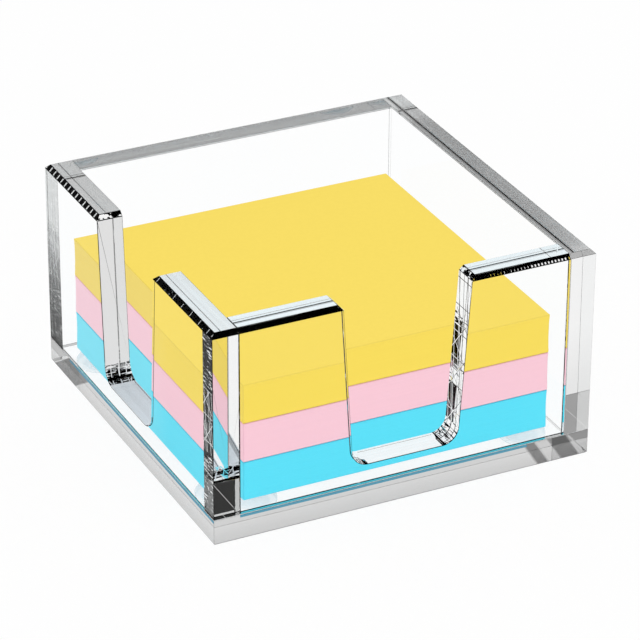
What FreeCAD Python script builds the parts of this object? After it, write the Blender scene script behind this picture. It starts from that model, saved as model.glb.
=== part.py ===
import FreeCAD, Part
import os

# Memo pad holder: an open box of thick clear acrylic plates, with a finger notch in the
# front wall and one in the left wall, standing on four clear bumper feet and holding
# three square note pads.  Millimetres.  The origin is the centre of the footprint on the
# desk, +X points to the right along the front wall, +Y to the back, and +Z up.

# ---- note pads -------------------------------------------------------------------
PAD_SIDE = 76.2             # 3 in square sheets
PAD_HEIGHT = 9.6            # about a hundred sheets
PAD_NAMES = ("blue_pad", "pink_pad", "yellow_pad")  # from the bottom up
PAD_AIR = 0.1               # air between loose pads, and under the lowest one

# ---- acrylic box -----------------------------------------------------------------
POCKET_PLAY = 5.1           # how much wider the pocket is than a pad, both ways
STACK_TO_RIGHT = 1.95       # gap from the pads to the right wall
STACK_TO_BACK = 1.25        # gap from the pads to the back wall
WALL_THICKNESS = 6.3
BASE_THICKNESS = 6.3
WALL_HEIGHT = 45.9          # each wall, above its joint with the base
BOND_LINE = 0.05            # cement film between glued plates
RIM_CHAMFER = 1.0           # polished bevel along the outer top edges
BASE_CHAMFER = 0.4          # broken edge around the underside of the base

# ---- finger notches --------------------------------------------------------------
NOTCH_TOP_WIDTH = 31.5      # across the mouth, at the rim
NOTCH_FLOOR_WIDTH = 26.0    # where the sloping sides meet the floor, before rounding
NOTCH_FLOOR_RISE = 5.0      # wall left standing under the notch
NOTCH_CORNER_RADIUS = 4.0

# ---- bumper feet -----------------------------------------------------------------
FOOT_DIAMETER = 11.0
FOOT_HEIGHT = 1.5
FOOT_ROUND = 0.5            # rounded rim on the side that meets the desk
FOOT_INSET = 13.0           # foot centre from the outer faces of the base

# ---- worked out from the values above --------------------------------------------
pocket = PAD_SIDE + POCKET_PLAY
outside = pocket + 2 * WALL_THICKNESS
half_outside = outside / 2
half_pocket = pocket / 2
base_bottom = FOOT_HEIGHT
base_top = base_bottom + BASE_THICKNESS
wall_bottom = base_top + BOND_LINE
rim = wall_bottom + WALL_HEIGHT
stack_x = half_pocket - STACK_TO_RIGHT - PAD_SIDE / 2
stack_y = half_pocket - STACK_TO_BACK - PAD_SIDE / 2
cross_wall_length = pocket - 2 * BOND_LINE

NEAR = 1e-4                 # tolerance when an edge is picked by its place


def block(low, high):
    """A box between two opposite corners."""
    size = [top - bottom for bottom, top in zip(low, high)]
    return Part.makeBox(*size, FreeCAD.Vector(*low))


def edges_where(shape, test):
    """The straight edges whose two ends both pass the test."""
    picked = []
    for edge in shape.Edges:
        if len(edge.Vertexes) == 2 and all(test(vertex.Point) for vertex in edge.Vertexes):
            picked.append(edge)
    return picked


def at(value, place):
    return abs(value - place) < NEAR


def on_one_face(first, second, faces):
    """Whether both points lie on the same one of the (axis, place) faces."""
    for axis, place in faces:
        if at(getattr(first, axis), place) and at(getattr(second, axis), place):
            return True
    return False


def across_notch(first, second, run):
    """Whether an edge of the rim is a lip of the notch, in a wall that runs along one axis."""
    offset = getattr(first, run)
    return at(offset, getattr(second, run)) and abs(offset) < NOTCH_TOP_WIDTH / 2 + NEAR


def bevel_rim(wall, outer_faces, run, notched):
    """Bevels a wall's top edges: those on its outer faces, and the lips of its notch."""
    picked = []
    for edge in edges_where(wall, lambda point: at(point.z, rim)):
        first, second = [vertex.Point for vertex in edge.Vertexes]
        if on_one_face(first, second, outer_faces):
            picked.append(edge)
        elif notched and across_notch(first, second, run):
            picked.append(edge)
    return wall.makeChamfer(RIM_CHAMFER, picked)


def notch_cutter():
    """The notch as a prism along Y, centred on X, from its rounded floor up past the rim."""
    floor = wall_bottom + NOTCH_FLOOR_RISE
    lean = (NOTCH_TOP_WIDTH - NOTCH_FLOOR_WIDTH) / 2 / (rim - floor)
    mouth = rim + WALL_THICKNESS
    half_mouth = NOTCH_FLOOR_WIDTH / 2 + lean * (mouth - floor)
    reach = outside
    corners = [
        FreeCAD.Vector(-half_mouth, -reach, mouth),
        FreeCAD.Vector(-NOTCH_FLOOR_WIDTH / 2, -reach, floor),
        FreeCAD.Vector(NOTCH_FLOOR_WIDTH / 2, -reach, floor),
        FreeCAD.Vector(half_mouth, -reach, mouth),
    ]
    outline = Part.makePolygon(corners + corners[:1])
    prism = Part.Face(outline).extrude(FreeCAD.Vector(0, 2 * reach, 0))
    floor_edges = edges_where(prism, lambda point: at(point.z, floor))
    rounded = [edge for edge in floor_edges if at(edge.Length, 2 * reach)]
    return prism.makeFillet(NOTCH_CORNER_RADIUS, rounded)


def make_base():
    """The bottom plate, under all four walls, with its lower edges broken."""
    low = (-half_outside, -half_outside, base_bottom)
    high = (half_outside, half_outside, base_top)
    plate = block(low, high)
    lower_edges = edges_where(plate, lambda point: at(point.z, base_bottom))
    return plate.makeChamfer(BASE_CHAMFER, lower_edges)


def make_side_wall(side, notched):
    """A wall along Y, over the whole depth; side is -1 for the left, 1 for the right."""
    faces = sorted((side * half_pocket, side * half_outside))
    wall = block((faces[0], -half_outside, wall_bottom), (faces[1], half_outside, rim))
    if notched:
        cutter = notch_cutter()
        cutter.rotate(FreeCAD.Vector(0, 0, 0), FreeCAD.Vector(0, 0, 1), 90)
        wall = wall.cut(cutter)
    outer_faces = [("x", side * half_outside), ("y", -half_outside), ("y", half_outside)]
    return bevel_rim(wall, outer_faces, "y", notched)


def make_cross_wall(side, notched):
    """A wall along X, between the side walls; side is -1 for the front, 1 for the back."""
    faces = sorted((side * half_pocket, side * half_outside))
    half_length = cross_wall_length / 2
    wall = block((-half_length, faces[0], wall_bottom), (half_length, faces[1], rim))
    if notched:
        wall = wall.cut(notch_cutter())
    return bevel_rim(wall, [("y", side * half_outside)], "x", notched)


def make_foot(side_x, side_y):
    """One clear bumper disc, stuck under a corner of the base."""
    reach = half_outside - FOOT_INSET
    centre = FreeCAD.Vector(side_x * reach, side_y * reach, 0)
    disc = Part.makeCylinder(FOOT_DIAMETER / 2, FOOT_HEIGHT, centre)
    rim_edges = [edge for edge in disc.Edges if at(edge.BoundBox.ZMax, 0)]
    return disc.makeFillet(FOOT_ROUND, rim_edges)


def make_pad(level):
    """One block of sheets; level counts pads up from the floor of the pocket."""
    low_z = base_top + PAD_AIR + level * (PAD_HEIGHT + PAD_AIR)
    low = (stack_x - PAD_SIDE / 2, stack_y - PAD_SIDE / 2, low_z)
    high = (stack_x + PAD_SIDE / 2, stack_y + PAD_SIDE / 2, low_z + PAD_HEIGHT)
    return block(low, high)


def build():
    """Every piece of the holder, by name."""
    pieces = {
        "base_plate": make_base(),
        "left_wall": make_side_wall(-1, notched=True),
        "right_wall": make_side_wall(1, notched=False),
        "front_wall": make_cross_wall(-1, notched=True),
        "back_wall": make_cross_wall(1, notched=False),
    }
    for depth, side_y in (("front", -1), ("back", 1)):
        for width, side_x in (("left", -1), ("right", 1)):
            pieces["foot_" + depth + "_" + width] = make_foot(side_x, side_y)
    for level, name in enumerate(PAD_NAMES):
        pieces[name] = make_pad(level)
    return pieces


os.makedirs("parts", exist_ok=True)
for name, shape in build().items():
    shape.exportStep("parts/" + name + ".step")
    print(name, round(shape.Volume, 1), "mm3", "valid" if shape.isValid() else "INVALID")
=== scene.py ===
import math
import random
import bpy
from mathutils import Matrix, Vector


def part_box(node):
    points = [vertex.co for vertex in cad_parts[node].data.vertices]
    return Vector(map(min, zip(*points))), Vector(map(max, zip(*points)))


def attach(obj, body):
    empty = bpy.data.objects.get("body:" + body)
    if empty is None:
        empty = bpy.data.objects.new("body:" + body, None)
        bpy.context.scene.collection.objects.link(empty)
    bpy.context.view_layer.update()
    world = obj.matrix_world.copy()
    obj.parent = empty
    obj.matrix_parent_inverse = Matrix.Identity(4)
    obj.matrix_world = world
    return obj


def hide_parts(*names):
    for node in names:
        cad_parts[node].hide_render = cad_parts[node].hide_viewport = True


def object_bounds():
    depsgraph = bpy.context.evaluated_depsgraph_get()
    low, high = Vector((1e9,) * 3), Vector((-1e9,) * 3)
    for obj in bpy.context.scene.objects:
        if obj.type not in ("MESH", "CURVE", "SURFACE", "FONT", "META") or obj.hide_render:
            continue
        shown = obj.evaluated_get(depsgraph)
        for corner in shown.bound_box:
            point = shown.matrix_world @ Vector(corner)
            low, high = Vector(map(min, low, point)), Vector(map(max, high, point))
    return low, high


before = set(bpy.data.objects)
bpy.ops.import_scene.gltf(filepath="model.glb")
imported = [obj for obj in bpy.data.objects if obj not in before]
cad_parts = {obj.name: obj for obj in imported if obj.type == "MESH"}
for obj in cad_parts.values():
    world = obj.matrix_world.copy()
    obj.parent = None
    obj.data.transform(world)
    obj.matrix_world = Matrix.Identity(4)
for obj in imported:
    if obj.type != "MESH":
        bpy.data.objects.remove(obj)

from types import SimpleNamespace

import bpy
from mathutils import Quaternion, Vector

MM = 0.001
CAD_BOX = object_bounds()

# ---------------------------------------------------------------- pads, feet and arrises, in mm
PAD_EDGE_ROUND = 0.2        # guillotined corners of a pad, barely broken
PAD_LEAF_GROUPS = 16        # bundles of leaves that stand slightly in or out of each other
PAD_LEAF_STEP = 0.035       # how far a bundle stands in
FIRST_PAD_SEED = 3          # each pad's bundles are drawn with the next seed
SHEET_EDGE_ROUND = 0.13     # polished arris on the edges of the notched plates
FINE_EDGE_ROUND = 0.04      # and on the others, which are barely broken
NOTCHED = ("left_wall", "front_wall")
FOOT_SEAT_GAP = 0.05        # film of adhesive between a foot and the base
FOOT_RING = 1.6             # flat ring that a foot stands on
FOOT_ROUND = 0.45           # its soft rim
FOOT_DISH = ((0.2, 0.35), (0.25, 0.15))     # steps of its hollow: inset in radii, and depth in mm

# ---------------------------------------------------------------- places on the plates, in mm
HALF_BOX = round(CAD_BOX[1][0] / MM, 3)
OUTER_SKIN = HALF_BOX - 0.2     # beyond this a point lies on an outer face
WALL_FOOT = round(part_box("left_wall")[0][2] / MM, 3) + 0.2
RIM_HEIGHT = round(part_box("left_wall")[1][2] / MM, 3)
BASE_TOP = round(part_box("base_plate")[1][2] / MM, 3)
BEVEL_FOOT = RIM_HEIGHT - 1.1
NOTCH_FLOOR_FROM = WALL_FOOT + 1.0      # a level face above this and under the next is a notch's floor
NOTCH_CORNER_TOP = WALL_FOOT + 9.5
JOINT_END = -39.0           # the left ends of the cross walls lie beyond this
BEYOND = 60.0               # a place off the end of every plate
BLUE_LINE = 0.7             # height of the strip along the base painted with a reflection of the lowest pad's blue
BLUE_LINE_LEFT = -40.6      # where it starts along the front
BLUE_LINE_RIGHT = 31.0      # where it ends there,
BLUE_LINE_BACK = 35.0       # and along the left side

# the right-hand side of the front notch, with bands of painted shade
CLEAR_BANDS = ((0.0, 1), (16.3, 0), (25.5, 1), (29.0, 0), (41.5, 1))    # from each height up: 1 clear, 0 painted shade
CLEAR_FRONT = -44.4         # nearer the front than this it is clear all the way up
DARK_TOP = 26.0             # its painted shade is darkest below this height,
DARK_FRONT = -45.2          # behind this
DARK_REACH = 20.0           # and left of this, which leaves out the wall's own right end
TICK_BANDS = ((14.5, 16.5), (25.0, 30.5), (40.0, 43.5))     # heights where level ticks break the bands up

# slope and pitch of the fine lines in a thick edge, and the height that they stop at
LATTICE = ((0.0, 6.4, 60.0), (1.3, 9.5, 41.0), (-0.8, 7.7, 44.0), (-6.0, 23.0, 60.0), (-9.0, 17.0, 60.0))
LATTICE_LINE = 0.17         # their width
NET_CROSSED = (23.0, 38.5)  # heights between which a glued end shows them, and not level ticks
TICK_LEVEL = 0.6            # how sparse the ticks are

# ---------------------------------------------------------------- how squarely a surface faces an axis
SQUARE = 0.9                # a face that is cut square to the axis
FLAT_FACE = 0.985           # its most square axis, above this: no arris
FULL_ARRIS = 0.93           # and below this: all arris
BEVEL = 0.75                # below this: a bevel
BEVEL_END = 0.3             # a bevel that faces the broad side less than this runs across the plate
ROUND_CORNER = 0.55         # a notch's surfaces face the broad side less than this
LEVEL_FACE = 0.99985        # a notch's floor faces up more than this, its rounded corners less
SHALLOW = 0.72              # the lower half of a rounded corner

# ---------------------------------------------------------------- tones of the clear plastic, mostly painted shade, highlights and reflections
PLATE_INDEX = 4.5           # refractive index that keeps light between a plate's faces
TRAPPED_FROM = 0.995        # share that a face throws back, above which it keeps all of it
SHEEN_INDEX = 1.08          # index of the faint sheen on every face
FACE_TINTS = ((0.992, 0.998, 1.0, 1), (1.0, 1.0, 1.0, 1))
ECHO_TINT = (0.985, 0.99, 0.99, 1)
# painted reflection of the lowest pad's blue
BLUE_REFLECTION_TINT = (0.16, 0.46, 0.62, 1)
# painted reflection of a bright sky on the front rim
RIM_COOL = (0.95, 0.985, 1.0)
# tone of the painted shade in the notch's right side
NOTCH_SHADE = 0.12
# painted shade on the sawn ends beyond where their tones give way
FAR_CUT_SHADE = 0.85
CLEAR = 0.99

# ---------------------------------------------------------------- how fine the patterns are
CUTTER_SCALE = (350, 3000)  # along and across the cutter's lines
POLISH_SCALE = (15, 1100)   # along and across the streaks of the polished rim
POLISH_STREAK = (0.62, 0.38)    # noise that leaves no streak, and noise that leaves a full one
SHADE_SCALE = (60, 60, 700)
HAZE = (55, 3)              # scale and detail, here and in the next two
FIBRE = (900, 6)
CLOUD = (400, 4)
MARK_PATCHES = (260, 0.52)  # scale and level of the patches that break up the saw marks
LIP_PATCHES = 700
LEAF_SCALE = (3, 3, 2600)
LEAF_DETAIL = 4

# ---------------------------------------------------------------- papers: top, cut sides with painted light in their colour, left side paled by a painted sheen
PAPERS = {
    "blue_pad": ("blue paper", (93, 229, 255), (96, 231, 255), (134, 236, 255)),
    "pink_pad": ("pink paper", (255, 204, 219), (255, 207, 220), (255, 214, 226)),
    "yellow_pad": ("yellow paper", (252, 225, 101), (253, 225, 95), (249, 224, 120)),
}
FIBRE_DEPTH = 2             # levels that thin fibres are darker by
CORNER_SHADE = 0.9                  # painted shade on the paper at its broken corners, thin dark lines at the pads' edges,
CORNER_SHADE_FACE = 0.97            # which face no axis more squarely than this
SHEEN_SIDE_SPAN = (-15 * MM, 5 * MM, 0.15, 1.0)   # the left side pales with a painted sheen between these places, by these shares
PAPER_GRAIN = (0.05, 0.05 * MM)             # strength and depth of the bumps
PAPER_ROUGHNESS = 0.85
PAPER_SHINE = 0.15

# ---------------------------------------------------------------- soft plastic of the feet
SOFT_TINTS = ((0.86, 0.93, 0.96, 1), (0.95, 0.98, 1.0, 1))
SOFT_THROUGH = (0.97, 0.99, 1.0, 1)
SOFT_BODY = 0.3             # share of its milky body
SOFT_ROUGHNESS = 0.35
SOFT_GRAIN = (0.1, 0.1 * MM)

# ---------------------------------------------------------------- room, lamps and camera, in m and degrees
ROOM_STRENGTH = 0.95
ROOM_DEPTH = ((-0.68, 0.7), (-0.1, 0.65), (0.6, 0.88))      # tone of the room from the front to the back
SKYLINE = (0.04, 0.2)       # the room's own tones fade in between these heights of view
FLAG = (-0.28, -0.15, 0.07, 1.0)        # dark flag on the left: its edge, the room's, and both tones
FLAG_FOOT = (0.36, 0.41, 0.7, 0.0)      # paler below these heights of view
CARD = (-0.395, -0.425, 0.0, 0.5)       # pale card beyond it
SOFTBOXES = (               # name, place, side and watts
    ("front softbox", (-0.35, -0.9, 0.55), 0.7, 0.5),
    ("side softbox", (0.9, -0.45, 0.6), 0.6, 0.5),
)
LAMP_AIM = (0, 0, 0.02)
FLOOR_SIZE = 20
FLOOR_TONE = 0.95
FLOOR_GLOW = 0.9            # how much of the floor's white is its own
FOCAL_LENGTH = 198.3
SENSOR_WIDTH = 36
CAMERA_TURN = -26.195
CAMERA_RISE = 28.01
CAMERA_ROLL = 0.32
CAMERA_REACH = 0.815
CAMERA_TARGET = (0.00086, -0.00167, 0.02484)
CLIP_RANGE = (0.01, 100)


# ---------------------------------------------------------------- small helpers
def drop_selection():
    if bpy.context.object and bpy.context.object.mode != "OBJECT":
        bpy.ops.object.mode_set(mode="OBJECT")
    bpy.ops.object.select_all(action="DESELECT")


def pick(piece):
    drop_selection()
    piece.select_set(True)
    bpy.context.view_layer.objects.active = piece


def settle(piece):
    """Puts the object's place, turn and size into its mesh."""
    pick(piece)
    bpy.ops.object.transform_apply(location=True, rotation=True, scale=True)


def round_edges(piece, name, width, segments, angle):
    """Bevels the edges that turn by more than the angle, in degrees."""
    bevel = piece.modifiers.new(name, "BEVEL")
    bevel.width = width * MM
    bevel.segments = segments
    bevel.limit_method = "ANGLE"
    bevel.angle_limit = math.radians(angle)
    return bevel


def linear(r, g, b):
    """A colour as a screen shows it, in the renderer's own numbers."""
    parts = [v / 255 for v in (r, g, b)]
    return tuple(v / 12.92 if v <= 0.04045 else ((v + 0.055) / 1.055) ** 2.4 for v in parts)


def grey(tone):
    return (tone, tone, tone, 1)


# ---------------------------------------------------------------- node helpers
def node_material(name):
    material = bpy.data.materials.new(name)
    material.use_nodes = True
    tree = material.node_tree
    tree.nodes.clear()
    return material, tree


def add(tree, kind, **values):
    node = tree.nodes.new(kind)
    for key, value in values.items():
        setattr(node, key, value)
    return node


def feed(tree, value, socket):
    """Links a socket to another, or sets its value."""
    if isinstance(value, bpy.types.NodeSocket):
        tree.links.new(value, socket)
    else:
        socket.default_value = value


def math_node(tree, operation, a, b=None, clamp=False):
    node = add(tree, "ShaderNodeMath", operation=operation, use_clamp=clamp)
    feed(tree, a, node.inputs[0])
    if b is not None:
        feed(tree, b, node.inputs[1])
    return node.outputs[0]


def times(tree, value, *others):
    for other in others:
        value = math_node(tree, "MULTIPLY", value, other)
    return value


def most(tree, value, *others):
    for other in others:
        value = math_node(tree, "MAXIMUM", value, other)
    return value


def less(tree, value, taken):
    """What is left of a share when another is taken off it."""
    return math_node(tree, "SUBTRACT", value, taken, clamp=True)


def apart(tree, value, other):
    """How far two values lie apart; for shares of 0 or 1, 1 where they differ."""
    return math_node(tree, "ABSOLUTE", math_node(tree, "SUBTRACT", value, other))


def above(tree, value, limit):
    return math_node(tree, "GREATER_THAN", value, limit)


def below(tree, value, limit):
    return math_node(tree, "LESS_THAN", value, limit)


def between(tree, value, low, high):
    """1 where the value lies between the two limits in mm."""
    return times(tree, above(tree, value, low * MM), below(tree, value, high * MM))


def spread(tree, value, low, high, first=0.0, last=1.0):
    """Takes low to high over to first to last, and holds it at both ends."""
    node = add(tree, "ShaderNodeMapRange")
    for name, number in (("From Min", low), ("From Max", high), ("To Min", first), ("To Max", last)):
        node.inputs[name].default_value = number
    feed(tree, value, node.inputs["Value"])
    return node.outputs[0]


def blend(tree, share, first, second, **kind):
    """Goes from the first to the second as the share goes from 0 to 1; colours unless told otherwise."""
    node = add(tree, "ShaderNodeMix", **{"data_type": "RGBA", **kind})
    for name, value in (("Factor", share), ("A", first), ("B", second)):
        feed(tree, value, node.inputs[name])
    return node.outputs["Result"]


def ramp(tree, share, stops, interpolation="LINEAR"):
    """Reads a colour off a row of stops, each a position from 0 to 1 and a tone or a colour."""
    node = add(tree, "ShaderNodeValToRGB")
    node.color_ramp.interpolation = interpolation
    tree.links.new(share, node.inputs[0])
    elements = node.color_ramp.elements
    elements.remove(elements[1])
    for count, (position, tone) in enumerate(stops):
        element = elements.new(position) if count else elements[0]
        element.position = position
        element.color = grey(tone) if isinstance(tone, float) else (*tone, 1)
    return node.outputs[0]


def split(tree, vector):
    node = add(tree, "ShaderNodeSeparateXYZ")
    tree.links.new(vector, node.inputs[0])
    return node.outputs


def stretch(tree, vector, scale):
    """A place with each of its axes scaled by a factor of its own."""
    node = add(tree, "ShaderNodeMapping")
    node.inputs["Scale"].default_value = scale
    tree.links.new(vector, node.inputs["Vector"])
    return node.outputs[0]


def noise(tree, vector, scale, detail=2):
    node = add(tree, "ShaderNodeTexNoise")
    node.inputs["Scale"].default_value = scale
    node.inputs["Detail"].default_value = detail
    tree.links.new(vector, node.inputs["Vector"])
    return node.outputs["Fac"]


def speckle(tree, vector, scale, level):
    """1 on irregular patches, 0 between them; the level sets how far apart they are."""
    return above(tree, noise(tree, vector, scale), level)


def bumps(tree, height, strength, distance):
    node = add(tree, "ShaderNodeBump")
    node.inputs["Strength"].default_value = strength
    node.inputs["Distance"].default_value = distance
    tree.links.new(height, node.inputs["Height"])
    return node.outputs[0]


def squarest_axis(tree, facing):
    """How squarely a surface faces the axis that it faces most."""
    return most(tree, facing[0], facing[1], facing[2])


def shader(tree, kind, **values):
    """A shader node with its inputs set or linked, their names written with _ for a blank."""
    node = add(tree, kind)
    for name, value in values.items():
        feed(tree, value, node.inputs[name.replace("_", " ")])
    return node.outputs[0]


def mix_shaders(tree, share, first, second):
    node = add(tree, "ShaderNodeMixShader")
    for place, value in enumerate((share, first, second)):
        feed(tree, value, node.inputs[place])
    return node.outputs[0]


def finish_tree(tree, surface, kind="ShaderNodeOutputMaterial"):
    out = add(tree, kind)
    tree.links.new(surface, out.inputs["Surface"])


# ---------------------------------------------------------------- clear plates
def tones_along(tree, place, tones):
    """A tone that changes along a plate; tones are pairs of a place in mm and a grey or a colour."""
    reach = HALF_BOX * MM
    stops = [((spot / HALF_BOX + 1) / 2, tone) for spot, tone in tones]
    return ramp(tree, spread(tree, place, -reach, reach), stops)


def cutter_lines(at, level):
    """1 on the ragged lines that the cutter leaves across a sawn face, 0 between them."""
    along, across = CUTTER_SCALE
    scale = [along if axis == at.look["across"] else across for axis in range(3)]
    return speckle(at.tree, stretch(at.tree, at.place, scale), 1, level)


def lattice(at):
    """1 on a net of fine slanting lines, which is how trapped light shows in a thick edge."""
    tree = at.tree
    across = at.axes[1 - at.look["run"]]
    lines = 0.0
    for slope, pitch, top in LATTICE:
        way = math_node(tree, "ADD", at.height, times(tree, across, slope))
        turn = math_node(tree, "FRACT", math_node(tree, "DIVIDE", way, pitch * MM))
        line = below(tree, turn, LATTICE_LINE * math.hypot(1, slope) / pitch)
        lines = most(tree, lines, times(tree, line, below(tree, at.height, top * MM)))
    return lines


def read_surface(tree, look):
    """What the material reads at each point of a plate: where it lies and which way it faces."""
    coordinates = add(tree, "ShaderNodeTexCoord")
    at = SimpleNamespace(tree=tree, look=look, place=coordinates.outputs["Object"])
    at.axes = split(tree, at.place)
    at.run = at.axes[look["run"]]
    at.height = at.axes[2]
    normal = split(tree, coordinates.outputs["Normal"])
    at.facing = [math_node(tree, "ABSOLUTE", normal[axis]) for axis in range(3)]
    at.broad = at.facing[look["across"]]
    at.squarest = squarest_axis(tree, at.facing)
    at.end = above(tree, at.facing[look["run"]], SQUARE)
    at.geometry = add(tree, "ShaderNodeNewGeometry")
    at.lines = lattice(at)
    at.ticks = cutter_lines(at, TICK_LEVEL)
    return at


def saw_marks(at):
    """1 on the marks that the saw leaves across a bevel, 0 between them; they are drawn bright with a painted
    highlight.
    """
    tree, look = at.tree, at.look
    pitch, share, steady_from, sparse = look["marks"]
    steady = above(tree, at.run, steady_from * MM)
    turn = math_node(tree, "FRACT", math_node(tree, "DIVIDE", at.run, pitch * MM))
    mark = below(tree, turn, spread(tree, steady, 0.0, 1.0, share * sparse, share))
    mark = times(tree, mark, below(tree, at.height, look["marks_top"] * MM))
    mark = times(tree, mark, above(tree, at.run, look["marks_after"] * MM))
    return times(tree, mark, most(tree, speckle(tree, at.place, *MARK_PATCHES), steady))


def mark_zones(at):
    """Adds a share from 0 to 1 for each kind of surface: sawn edge, notch corner, bevel, arris and foot."""
    tree, look = at.tree, at.look
    at.sawn = less(tree, 1.0, at.broad)
    at.low_down = between(tree, at.height, NOTCH_FLOOR_FROM, NOTCH_CORNER_TOP)
    at.corner = times(tree, below(tree, at.broad, ROUND_CORNER), at.low_down)
    slanted = spread(tree, at.squarest, FLAT_FACE, FULL_ARRIS)
    at.arris = times(tree, slanted, math_node(tree, "SUBTRACT", 1.0, at.corner))
    bevel = times(tree, below(tree, at.squarest, BEVEL), above(tree, at.height, BEVEL_FOOT * MM))
    at.marks = times(tree, bevel, saw_marks(at))
    lip = times(tree, bevel, below(tree, at.broad, BEVEL_END))
    lip = times(tree, lip, speckle(tree, at.place, LIP_PATCHES, look["lip_gaps"]))
    at.lip = times(tree, lip, above(tree, at.run, look["lip_after"] * MM))
    at.foot = times(tree, at.geometry.outputs["Backfacing"], above(tree, slanted, 0.5),
                    below(tree, at.height, look["foot"] * MM))
    at.glued = times(tree, at.end, below(tree, at.run, look["joint_end"] * MM))


def mark_notch(at):
    """Adds the shares of a notch that carry painted shade, or are clear on its steep and on its shallow
    surfaces.
    """
    tree = at.tree
    side, round_side, round_clear = at.look["notch"]
    lines = at.lines
    for band in TICK_BANDS:
        lines = most(tree, lines, times(tree, at.ticks, between(tree, at.height, *band)))
    bands = [(start / RIM_HEIGHT, float(clear)) for start, clear in CLEAR_BANDS]
    clear = ramp(tree, spread(tree, at.height, 0.0, RIM_HEIGHT * MM), bands, "CONSTANT")
    clear = most(tree, clear, below(tree, at.axes[1], CLEAR_FRONT * MM))
    notch_side = times(tree, at.end, above(tree, at.run, 0.0), side)
    steep = times(tree, apart(tree, clear, lines), notch_side)
    at.dark = times(tree, less(tree, notch_side, steep),
                    below(tree, at.height, DARK_TOP * MM),
                    above(tree, at.axes[1], DARK_FRONT * MM),
                    below(tree, at.run, DARK_REACH * MM))

    rounded = times(tree, at.corner, below(tree, at.facing[2], LEVEL_FACE))
    scored = most(tree, at.lines, cutter_lines(at, at.look["scored"]))
    bright = times(tree, apart(tree, scored, round_clear), times(tree, rounded, round_side))
    at.shallow = times(tree, bright, above(tree, at.facing[2], SHALLOW))
    at.steep = most(tree, steep, math_node(tree, "SUBTRACT", bright, at.shallow))


def blue_strip(at, near_face, drop):
    """1 on the strip along the top of the base's near faces that is painted with a reflection of the lowest
    pad's blue.
    """
    tree = at.tree
    strip = times(tree, near_face, above(tree, drop, -BLUE_LINE * MM))
    for axis, end_of_line in ((0, BLUE_LINE_RIGHT), (1, BLUE_LINE_BACK)):
        strip = times(tree, strip, below(tree, at.axes[axis], end_of_line * MM))
    corner_post = times(tree, below(tree, at.axes[0], BLUE_LINE_LEFT * MM), above(tree, at.facing[1], SQUARE))
    return times(tree, less(tree, strip, corner_post), at.look["blue_line"])


def upright_tint(at):
    """The painted tone of the narrow faces that stand upright: painted shade and reflections in the clear
    edges, and the painted blue strip.
    """
    tree, look = at.tree, at.look
    drop = math_node(tree, "SUBTRACT", at.height, BASE_TOP * MM)
    along = math_node(tree, "ADD", at.axes[look["cut_along"]], times(tree, drop, look["cut_lean"]))
    near_end = below(tree, at.run, look["cut_until"] * MM)
    ends = blend(tree, near_end, grey(FAR_CUT_SHADE), tones_along(tree, along, look["cut"]))
    along = math_node(tree, "ADD", at.run, times(tree, drop, look["side_lean"]))
    outermost = math_node(tree, "MINIMUM", at.axes[0], at.axes[1])
    near_face = below(tree, outermost, -OUTER_SKIN * MM)
    sides = blend(tree, near_face, grey(look["far_side"]), tones_along(tree, along, look["side"]))
    tint = blend(tree, at.facing[look["run"]], sides, ends)
    return blend(tree, blue_strip(at, near_face, drop), tint, BLUE_REFLECTION_TINT)


def level_tint(at):
    """The painted tone of the narrow faces that lie level, painted shade and reflections: the rim, which is
    streaked, and a notch's floor.
    """
    tree, look = at.tree, at.look
    along, across = POLISH_SCALE
    scale = [along if axis == look["run"] else across for axis in range(3)]
    streaked = spread(tree, noise(tree, stretch(tree, at.place, scale), 1), *POLISH_STREAK)
    rim = blend(tree, streaked, tones_along(tree, at.run, look["rim"]), grey(look["streaks"]),
                blend_type="MULTIPLY")
    floor = blend(tree, at.geometry.outputs["Backfacing"], look["floor"], grey(CLEAR))
    return blend(tree, at.low_down, rim, floor)


def low_shade(at):
    """The share of the upright narrow faces that is shaded near the desk, with a ragged border."""
    tree, look = at.tree, at.look
    full_from, full_to = look["low"]
    ragged = noise(tree, stretch(tree, at.place, SHADE_SCALE), 1, 3)
    wander = times(tree, math_node(tree, "SUBTRACT", ragged, 0.5), look["ragged"] * MM)
    share = spread(tree, math_node(tree, "ADD", at.height, wander), full_from * MM, full_to * MM)
    return times(tree, share, less(tree, at.sawn, at.facing[2]))


def plate_colour(at):
    """The colour that light takes on as it passes the surface; on the narrow faces it carries painted shade,
    highlights and reflections.
    """
    tree, look = at.tree, at.look
    face_tint = blend(tree, noise(tree, at.place, *HAZE), *FACE_TINTS)
    sawn_tint = blend(tree, at.facing[2], upright_tint(at), level_tint(at))
    tint = blend(tree, at.sawn, face_tint, sawn_tint)
    # painted shade: dark arrises
    tint = blend(tree, at.arris, tint, grey(look["arris"]))
    # painted highlights: saw marks and patches on the bevels
    tint = blend(tree, most(tree, at.marks, at.lip), tint, grey(look["lip"]))
    tint = blend(tree, at.glued, tint, grey(look["glued"]))
    # painted shade in the notch
    tint = blend(tree, at.dark, tint, grey(NOTCH_SHADE))
    return blend(tree, low_shade(at), tint, grey(look["low_tone"]), blend_type="MULTIPLY")


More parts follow.
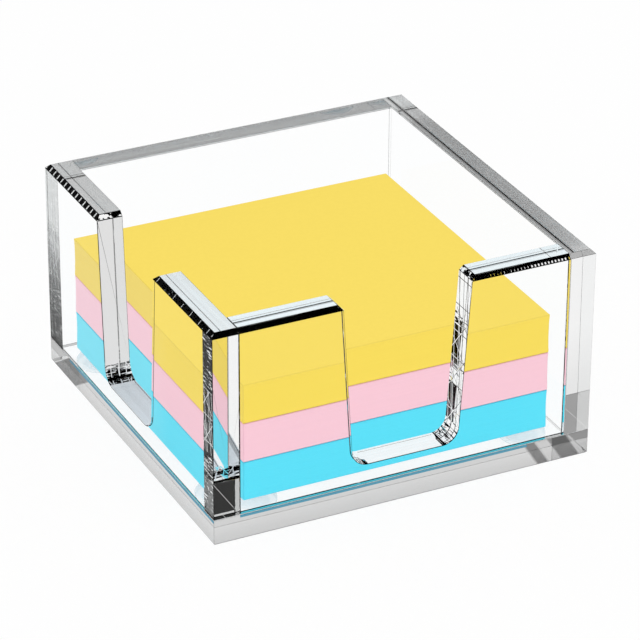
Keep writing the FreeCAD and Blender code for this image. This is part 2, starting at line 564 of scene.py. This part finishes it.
def plate_normal(at):
    """The normal, turned onto one axis where marks, lips and clear parts of a notch let light straight in."""
    tree, look = at.tree, at.look
    squared = add(tree, "ShaderNodeCombineXYZ")
    turned_parts = ((at.marks, look["marks_face"]), (at.lip, look["lip_face"]), (at.shallow, 2),
                    (at.steep, look["run"]))
    for axis in range(3):
        taken = at.foot if axis != 2 else 0.0
        for share, kept in turned_parts:
            if axis != kept:
                taken = most(tree, taken, share)
        tree.links.new(math_node(tree, "SUBTRACT", 1.0, taken), squared.inputs[axis])
    turned = add(tree, "ShaderNodeVectorMath", operation="MULTIPLY")
    tree.links.new(at.geometry.outputs["Normal"], turned.inputs[0])
    tree.links.new(squared.outputs[0], turned.inputs[1])
    normal = add(tree, "ShaderNodeVectorMath", operation="NORMALIZE")
    tree.links.new(turned.outputs[0], normal.inputs[0])
    return normal.outputs[0]


def echo_colour(at):
    """The colour of light that a face keeps inside the plate, darkened on the underside and the right-hand
    outer face as painted shade.
    """
    tree, look = at.tree, at.look
    under = times(tree, below(tree, at.height, WALL_FOOT * MM), above(tree, at.facing[2], SQUARE))
    right = above(tree, at.axes[0], OUTER_SKIN * MM)
    echo = blend(tree, under, ECHO_TINT, grey(look["under_echo_shade"]))
    return blend(tree, right, echo, grey(look["right_echo_shade"]))


def echo_share(at, normal):
    """How much light a face throws back: all that is trapped, what the net holds, and a faint sheen."""
    tree = at.tree
    held = shader(tree, "ShaderNodeFresnel", IOR=PLATE_INDEX, Normal=normal)
    sheen = shader(tree, "ShaderNodeFresnel", IOR=SHEEN_INDEX, Normal=normal)
    crossed = between(tree, at.height, *NET_CROSSED)
    net = most(tree, times(tree, at.lines, crossed),
               times(tree, at.ticks, math_node(tree, "SUBTRACT", 1.0, crossed)))
    net = times(tree, net, at.glued, at.look["net"])
    return most(tree, above(tree, held, TRAPPED_FROM), net, sheen)


def clear_plate(name, look):
    """Polished clear plastic; look holds the painted shade, highlights and reflections of one plate's sawn
    edges and bevels.
    """
    material, tree = node_material(name)
    at = read_surface(tree, look)
    mark_zones(at)
    mark_notch(at)
    normal = plate_normal(at)
    bend = shader(tree, "ShaderNodeBsdfRefraction", Color=plate_colour(at), Roughness=0, IOR=PLATE_INDEX,
                  Normal=normal)
    mirror = shader(tree, "ShaderNodeBsdfGlossy", Color=echo_colour(at), Roughness=0, Normal=normal)
    body = mix_shaders(tree, echo_share(at, normal), bend, mirror)
    ray = add(tree, "ShaderNodeLightPath")
    lamp_ray = most(tree, ray.outputs["Is Shadow Ray"], ray.outputs["Is Diffuse Ray"])
    finish_tree(tree, mix_shaders(tree, lamp_ray, body, shader(tree, "ShaderNodeBsdfTransparent")))
    return material


# One plate's look: the painted shade, highlights and reflections in its edges.  Places are in mm, and tones
# of places are pairs of a place and a grey or a colour.
PLAIN = {
    "across": 1,                        # the axis through the plate: 0 for x, 1 for y, 2 for z
    "run": 0,                           # and the axis along it
    "cut": [(0.0, 0.99)],               # painted shade and reflections on its sawn ends, and the axis that they change along,
    "cut_along": 1,
    "cut_lean": 0.0,                    # with how far they move for each mm down,
    "cut_until": BEYOND,                # and where along the plate they give way to one tone
    "side": [(0.0, 0.99)],              # painted shade and reflections on its long sawn sides on the near faces of the box,
    "side_lean": 0.0,
    "far_side": CLEAR,                  # and the one on the others
    "blue_line": 0.0,                   # 1 for a painted reflection of the lowest pad's blue under the walls
    "rim": [(0.0, 0.75)],               # painted shade and reflections along its level faces,
    "streaks": 0.93,                    # and what their streaks are multiplied by
    "floor": grey(CLEAR),               # painted shade and reflections on a notch's floor
    "low": (20.0, 10.0),                # heights between which the shade near the desk comes in,
    "low_tone": 1.0,
    "ragged": 0.0,                      # and how far its border wanders
    "foot": 0.0,                        # height below which the lower arris lets light out
    # painted shade: the tone that darkens the arrises into dark outlines
    "arris": 0.6,
    "lip": 0.95,                        # tone of the patches on the bevels, a painted highlight where paler than the arris,
    "lip_gaps": 2.0,                    # how sparse they are: 0 for none left out, 2 for none left,
    "lip_after": -BEYOND,               # where along the plate they start,
    "lip_face": 1,                      # and the axis that they are squared to
    "marks": (1.1, 0.0, BEYOND, 1.0),   # saw marks: pitch, width in pitches, steady from where, thinned to,
    "marks_top": 99.0,                  # the height that they end at,
    "marks_after": -BEYOND,             # where along the plate they start,
    "marks_face": 2,                    # and the axis that they are squared to
    "notch": (0.0, 0.0, 0.0),           # 1 for bands in its right side, for scored corners, for dark on clear
    "scored": 0.5,                      # how sparse the cutter's lines are
    "joint_end": -BEYOND,               # where along the plate a glued end lies,
    "glued": 0.9,                       # its tone,
    "net": 0.0,                         # and how strong its net is
    "under_echo_shade": 0.62,                 # tone of light kept by the underside, darkened as a painted shadow of the desk below,
    "right_echo_shade": 0.985,                # and by the right-hand outer face, darkened as painted shade of the room's darker left side
}
LOOKS = {
    "left_wall": PLAIN | {
        "across": 0, "run": 1,
        "cut": [(-46.0, 0.99), (-12.0, 0.93), (-10.0, 0.74), (18.0, 0.76), (46.0, 0.99)],
        "rim": [(-20.0, (0.93, 0.955, 0.965)), (12.0, 0.77), (46.0, 0.75)], "streaks": 0.95,
        "floor": (0.74, 0.79, 0.84, 1.0), "foot": WALL_FOOT + 0.3, "arris": 0.4,
        "lip_gaps": 0.47, "lip_after": 0.0, "marks": (2.2, 0.2, 15.0, 0.3),
        "notch": (0.0, 1.0, 0.0), "scored": 0.57,
    },
    "right_wall": PLAIN | {
        "across": 0, "run": 1,
        "cut": [(0.0, 0.98)],
        "rim": [(-46.5, 0.95), (-41.0, 0.72), (-25.0, 0.66), (20.0, 0.62), (38.0, 0.65), (42.0, 0.85)],
        "low": (26.0, 14.0), "low_tone": 0.93, "lip": 0.5, "lip_gaps": 0.0,
        "under_echo_shade": 0.88, "right_echo_shade": 0.93,
    },
    "front_wall": PLAIN | {
        "rim": [(0.0, RIM_COOL)], "streaks": 0.97, "foot": WALL_FOOT + 0.3,
        "lip_gaps": 0.55, "lip_face": 2,
        "marks": (0.85, 0.4, 30.5, 0.3), "marks_top": RIM_HEIGHT - 0.55, "marks_after": 0.0, "marks_face": 1,
        "notch": (1.0, 1.0, 1.0), "scored": 0.55,
        "joint_end": JOINT_END, "glued": 0.36, "net": 0.8,
    },
    "back_wall": PLAIN | {
        "cut": [(0.0, 0.8)], "rim": [(0.0, 0.67)],
        "low": (32.0, 20.0), "low_tone": 0.45, "ragged": 14.0,
        "joint_end": JOINT_END, "net": 0.35,
    },
    "base_plate": PLAIN | {
        "across": 2, "run": 1,
        "cut": [(29.9, 0.9), (30.3, 0.33), (32.8, 0.33), (33.1, 0.85),
                (36.1, 0.85), (36.4, 0.36), (40.7, 0.36), (41.0, 0.85)],
        "cut_along": 0, "cut_lean": 0.65, "cut_until": 0.0,
        "side": [(22.4, 0.88), (22.9, 0.36), (35.2, 0.36), (35.6, 0.88)], "side_lean": 1.6, "far_side": 0.88,
        "blue_line": 1.0, "floor": grey(0.75), "low": (7.0, 2.0), "low_tone": 0.92, "foot": 2.2,
        "under_echo_shade": 0.95, "right_echo_shade": 0.85,
    },
}


def finish_plates():
    for node, look in LOOKS.items():
        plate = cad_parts[node]
        plate.data.materials.clear()
        plate.data.materials.append(clear_plate("clear plastic, " + node.replace("_", " "), look))
        join = plate.modifiers.new("join facets", "WELD")
        join.merge_threshold = 0.001 * MM
        faces = plate.modifiers.new("plain faces", "DECIMATE")
        faces.decimate_type = "DISSOLVE"
        faces.angle_limit = math.radians(0.5)
        width = SHEET_EDGE_ROUND if node in NOTCHED else FINE_EDGE_ROUND
        arris = round_edges(plate, "arris", width, 2, 30)
        arris.use_clamp_overlap = False


# ---------------------------------------------------------------- paper pads
def paper_tone(tree, mottle, colour):
    """A paper colour, a shade darker where the fibres lie thin."""
    thin = linear(*[part - FIBRE_DEPTH for part in colour])
    return blend(tree, mottle, (*thin, 1), (*linear(*colour), 1))


def pad_paper(name, face, sides, sheened_side):
    """Matt coloured paper; the cut sides show the leaves as fine lines and carry painted light in their own
    colour, the left side is paler with a painted sheen, and the broken corners are darker with painted shade.
    """
    material, tree = node_material(name)
    coordinates = add(tree, "ShaderNodeTexCoord")
    place = coordinates.outputs["Object"]
    leaves = noise(tree, stretch(tree, place, LEAF_SCALE), 1, LEAF_DETAIL)
    fibre = noise(tree, place, *FIBRE)
    normal = split(tree, coordinates.outputs["Normal"])
    facing = [math_node(tree, "ABSOLUTE", normal[axis]) for axis in range(3)]
    side = less(tree, 1.0, facing[2])

    grain = blend(tree, side, fibre, leaves, data_type="FLOAT")
    mottle = spread(tree, grain, 0.3, 0.7)
    # painted light: the cut sides have their own colour, set to how light falls on them
    colour = blend(tree, side, paper_tone(tree, mottle, face), paper_tone(tree, mottle, sides))
    # painted sheen: the left side is paler, more so towards the back
    glued = times(tree, below(tree, normal[0], -SQUARE), spread(tree, split(tree, place)[1], *SHEEN_SIDE_SPAN))
    colour = blend(tree, glued, colour, paper_tone(tree, mottle, sheened_side))
    # painted shade: the broken corners are darker, which draws thin dark lines at the pads' edges
    shaded_corner = below(tree, squarest_axis(tree, facing), CORNER_SHADE_FACE)
    dark = [part * CORNER_SHADE for part in linear(*face)]
    colour = blend(tree, shaded_corner, colour, (*dark, 1))
    paper = shader(tree, "ShaderNodeBsdfPrincipled", Base_Color=colour, Roughness=PAPER_ROUGHNESS,
                   Specular_IOR_Level=PAPER_SHINE, Normal=bumps(tree, grain, *PAPER_GRAIN))
    finish_tree(tree, paper)
    return material


def make_pad(node, material, seed):
    """One block of gummed leaves, cut square, with the leaves just felt along its sides."""
    low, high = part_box(node)
    low, high = Vector(low), Vector(high)
    middle = (low + high) / 2
    size = high - low
    drop_selection()
    bpy.ops.mesh.primitive_cube_add(size=1, location=middle)
    pad = bpy.context.object
    pad.name = node.replace("_pad", "_note_pad")
    pad.scale = size
    settle(pad)
    bpy.ops.object.mode_set(mode="EDIT")
    step = size.z / PAD_LEAF_GROUPS
    rng = random.Random(seed)
    for i in range(1, PAD_LEAF_GROUPS):
        level = Vector((middle.x, middle.y, low.z + i * step))
        bpy.ops.mesh.select_all(action="SELECT")
        bpy.ops.mesh.bisect(plane_co=level, plane_no=(0, 0, 1))
        across, deep = [1 - 2 * rng.uniform(0, 1) * PAD_LEAF_STEP * MM / length for length in size.xy]
        bpy.ops.transform.resize(value=(across, deep, 1), center_override=level)
    bpy.ops.mesh.select_all(action="DESELECT")
    bpy.ops.object.mode_set(mode="OBJECT")
    corners = round_edges(pad, "cut corners", PAD_EDGE_ROUND, 2, 40)
    pick(pad)
    bpy.ops.object.modifier_apply(modifier=corners.name)
    pad.data.materials.append(material)
    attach(pad, node)
    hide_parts(node)


# ---------------------------------------------------------------- bumper feet
def soft_clear(name):
    """Clear soft plastic of the bumper feet: lets most light by, with a faint milky body."""
    material, tree = node_material(name)
    coordinates = add(tree, "ShaderNodeTexCoord")
    cloud = noise(tree, coordinates.outputs["Object"], *CLOUD)
    tint = blend(tree, cloud, *SOFT_TINTS)
    skin = shader(tree, "ShaderNodeBsdfPrincipled", Base_Color=tint, Roughness=SOFT_ROUGHNESS,
                  Normal=bumps(tree, cloud, *SOFT_GRAIN))
    through = shader(tree, "ShaderNodeBsdfTransparent", Color=SOFT_THROUGH)
    finish_tree(tree, mix_shaders(tree, SOFT_BODY, through, skin))
    return material


def make_foot(node, material):
    """A soft disc with a ring around the hollow in its underside."""
    low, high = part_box(node)
    low, high = Vector(low), Vector(high)
    middle = (low + high) / 2
    radius = (high.x - low.x) / 2
    top = high.z - FOOT_SEAT_GAP * MM
    drop_selection()
    bpy.ops.mesh.primitive_cylinder_add(vertices=48, radius=radius, depth=top - low.z,
                                        location=(middle.x, middle.y, (top + low.z) / 2))
    foot = bpy.context.object
    foot.name = node.replace("foot_", "bumper_")
    settle(foot)
    bpy.ops.object.mode_set(mode="EDIT")
    bpy.ops.mesh.select_mode(type="FACE")
    bpy.ops.mesh.select_all(action="DESELECT")
    bpy.ops.object.mode_set(mode="OBJECT")
    for face in foot.data.polygons:
        face.select = face.normal.z < -SQUARE
    bpy.ops.object.mode_set(mode="EDIT")
    bpy.ops.mesh.inset(thickness=FOOT_RING * MM)
    for inset, depth in FOOT_DISH:
        bpy.ops.mesh.inset(thickness=radius * inset)
        bpy.ops.transform.translate(value=(0, 0, depth * MM))
    bpy.ops.mesh.select_all(action="DESELECT")
    bpy.ops.object.mode_set(mode="OBJECT")
    rim = round_edges(foot, "soft rim", FOOT_ROUND, 4, 50)
    pick(foot)
    bpy.ops.object.modifier_apply(modifier=rim.name)
    bpy.ops.object.shade_smooth_by_angle(angle=math.radians(40))
    foot.data.materials.append(material)
    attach(foot, "holder")
    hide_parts(node)


# ---------------------------------------------------------------- studio
def lay_floor():
    """A matt white floor that keeps the object's shadow and looks white from everywhere."""
    drop_selection()
    bpy.ops.mesh.primitive_plane_add(size=FLOOR_SIZE)
    floor = bpy.context.object
    floor.name = "studio_floor"
    material, tree = node_material("white studio floor")
    matt = shader(tree, "ShaderNodeBsdfDiffuse", Color=grey(FLOOR_TONE))
    glow = shader(tree, "ShaderNodeEmission")
    ray = add(tree, "ShaderNodeLightPath")
    seen = most(tree, ray.outputs["Is Camera Ray"], ray.outputs["Is Glossy Ray"],
                ray.outputs["Is Transmission Ray"])
    finish_tree(tree, mix_shaders(tree, times(tree, seen, FLOOR_GLOW), matt, glow))
    floor.data.materials.append(material)


def room_tone(tree):
    """The room as it shows through the clear plates: white low down, with a flag on the left higher up."""
    coordinates = add(tree, "ShaderNodeTexCoord")
    left_right, front_back, up = split(tree, coordinates.outputs["Generated"])
    stops = [((way + 1) / 2, tone) for way, tone in ROOM_DEPTH]
    depth = ramp(tree, spread(tree, front_back, -1, 1), stops)
    flag = most(tree, spread(tree, left_right, *FLAG), spread(tree, up, *FLAG_FOOT))
    card = spread(tree, left_right, *CARD)
    upper = times(tree, depth, math_node(tree, "ADD", flag, card, clamp=True))
    return blend(tree, spread(tree, up, *SKYLINE), 1.0, upper, data_type="FLOAT")


def light_room():
    world = bpy.data.worlds.new("white room")
    bpy.context.scene.world = world
    world.use_nodes = True
    tree = world.node_tree
    tree.nodes.clear()
    room = shader(tree, "ShaderNodeBackground", Color=grey(1), Strength=ROOM_STRENGTH)
    white = shader(tree, "ShaderNodeBackground", Color=grey(1), Strength=1.0)
    through = shader(tree, "ShaderNodeBackground", Color=room_tone(tree), Strength=1.0)
    ray = add(tree, "ShaderNodeLightPath")
    seen = most(tree, ray.outputs["Is Camera Ray"], ray.outputs["Is Glossy Ray"])
    body = mix_shaders(tree, seen, room, white)
    body = mix_shaders(tree, ray.outputs["Is Transmission Ray"], body, through)
    finish_tree(tree, body, "ShaderNodeOutputWorld")
    for name, place, side, power in SOFTBOXES:
        lamp = bpy.data.lights.new(name, "AREA")
        lamp.shape = "SQUARE"
        lamp.size = side
        lamp.energy = power
        stand = bpy.data.objects.new(name, lamp)
        bpy.context.collection.objects.link(stand)
        stand.location = place
        aim = Vector(LAMP_AIM) - Vector(place)
        stand.rotation_euler = aim.to_track_quat("-Z", "Y").to_euler()


def set_camera():
    lens = bpy.data.cameras.new("camera")
    camera = bpy.data.objects.new("camera", lens)
    bpy.context.collection.objects.link(camera)
    lens.lens = FOCAL_LENGTH
    lens.sensor_width = SENSOR_WIDTH
    lens.clip_start, lens.clip_end = CLIP_RANGE
    turn, rise, roll = [math.radians(angle) for angle in (CAMERA_TURN, CAMERA_RISE, CAMERA_ROLL)]
    back = Vector((math.sin(turn) * math.cos(rise), -math.cos(turn) * math.cos(rise), math.sin(rise)))
    camera.location = Vector(CAMERA_TARGET) + back * CAMERA_REACH
    camera.rotation_mode = "QUATERNION"
    camera.rotation_quaternion = (-back).to_track_quat("-Z", "Y") @ Quaternion((0, 0, 1), roll)
    bpy.context.scene.camera = camera


finish_plates()
papers = {node: pad_paper(*colours) for node, colours in PAPERS.items()}
for seed, (node, paper) in enumerate(papers.items(), FIRST_PAD_SEED):
    make_pad(node, paper, seed)
rubber = soft_clear("clear bumper plastic")
for node in ("foot_front_left", "foot_front_right", "foot_back_left", "foot_back_right"):
    make_foot(node, rubber)
lay_floor()
light_room()
set_camera()

scene = bpy.context.scene
scene.view_settings.view_transform = "Standard"
scene.cycles.max_bounces = 16
scene.cycles.glossy_bounces = 12
scene.cycles.transmission_bounces = 16
scene.cycles.transparent_max_bounces = 32
